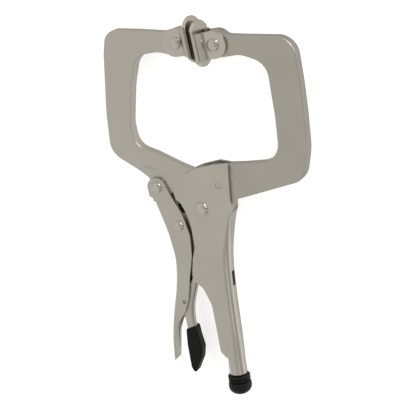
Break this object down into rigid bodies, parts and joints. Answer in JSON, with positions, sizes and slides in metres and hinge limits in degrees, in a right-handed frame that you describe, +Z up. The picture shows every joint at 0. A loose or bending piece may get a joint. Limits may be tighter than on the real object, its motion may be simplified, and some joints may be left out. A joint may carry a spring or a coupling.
{
  "type": "locking pliers",
  "caption": "Locking C-clamp pliers with swivel pads, toggle lever, release lever and adjusting screw, lying on one side.",
  "frame": {"origin": "under the middle of the tool's bounding box, on the surface that the pads lie on", "axes": "+Y from the adjusting knob towards the jaws, +X from the lever towards the fixed handle's back, +Z up, across the tool's thickness"},
  "size_m": [0.1504, 0.2782, 0.0246],
  "materials": {
    "nickel_plate": "satin nickel plating, warm grey, brighter on worn edges",
    "plain_steel": "oiled steel, darker than the plated parts",
    "spring_steel": "drawn wire, semi-bright",
    "black_vinyl": "black dipped vinyl, soft sheen"
  },
  "bodies": {
    "frame": {"fixed_handle": "nickel_plate", "fixed_jaw": "nickel_plate", "jaw_fixing_rivet": "nickel_plate", "main_pivot_rivet": "nickel_plate", "tension_spring": "spring_steel", "right_pad_rivet": "nickel_plate"},
    "jaw": {"movable_jaw": "nickel_plate", "left_pad_rivet": "nickel_plate"},
    "lever": {"lever_handle": "nickel_plate", "jaw_lever_rivet": "nickel_plate", "link_rivet": "nickel_plate", "release_pivot_pin": "plain_steel"},
    "link": {"toggle_link": "plain_steel"},
    "release": {"release_lever": "nickel_plate", "release_grip": "black_vinyl"},
    "left_pad": {"left_swivel_pad": "nickel_plate"},
    "right_pad": {"right_swivel_pad": "nickel_plate"},
    "screw": {"adjusting_screw": "plain_steel"},
    "knob": {"screw_knob": "black_vinyl"}
  },
  "joints": [
    {"name": "jaw_open", "type": "hinge", "parent": "frame", "child": "jaw", "pos_m": [-0.009, 0.00407, 0.0123], "axis": [0, 0, 1], "range_deg": [0, 26], "deforming": ["tension_spring"]},
    {"name": "lever_open", "type": "hinge", "parent": "jaw", "child": "lever", "pos_m": [-0.0425, 0.01928, 0.0123], "axis": [0, 0, 1], "range_deg": [-54, 0.5]},
    {"name": "link_swing", "type": "hinge", "parent": "lever", "child": "link", "pos_m": [-0.0297, -0.00923, 0.0123], "axis": [0, 0, 1], "range_deg": [-0.5, 56]},
    {"name": "release_press", "type": "hinge", "parent": "lever", "child": "release", "pos_m": [-0.0336, -0.06732, 0.0123], "axis": [0, 0, 1], "range_deg": [-9, 0]},
    {"name": "left_pad_swivel", "type": "hinge", "parent": "jaw", "child": "left_pad", "pos_m": [-0.0116, 0.12198, 0.0123], "axis": [0, 0, 1], "range_deg": [-21, 1]},
    {"name": "right_pad_swivel", "type": "hinge", "parent": "frame", "child": "right_pad", "pos_m": [0.0163, 0.11978, 0.0123], "axis": [0, 0, 1], "range_deg": [-21.5, 1.5]},
    {"name": "screw_travel", "type": "slide", "parent": "frame", "child": "screw", "axis": [0, -1, 0], "range_m": [0, 0.0125]},
    {"name": "knob_turn", "type": "hinge", "parent": "screw", "child": "knob", "pos_m": [-0.0009, -0.13192, 0.0123], "axis": [0, -1, 0], "range_deg": [0, 3601]}
  ],
  "couplings": [
    {"joint": "lever_open", "follows": "jaw_open", "ratio": -2.0457},
    {"joint": "link_swing", "follows": "jaw_open", "ratio": 2.1307},
    {"joint": "right_pad_swivel", "follows": "left_pad_swivel", "ratio": 1},
    {"joint": "knob_turn", "follows": "screw_travel", "rad_per_m": 5026.5}
  ]
}
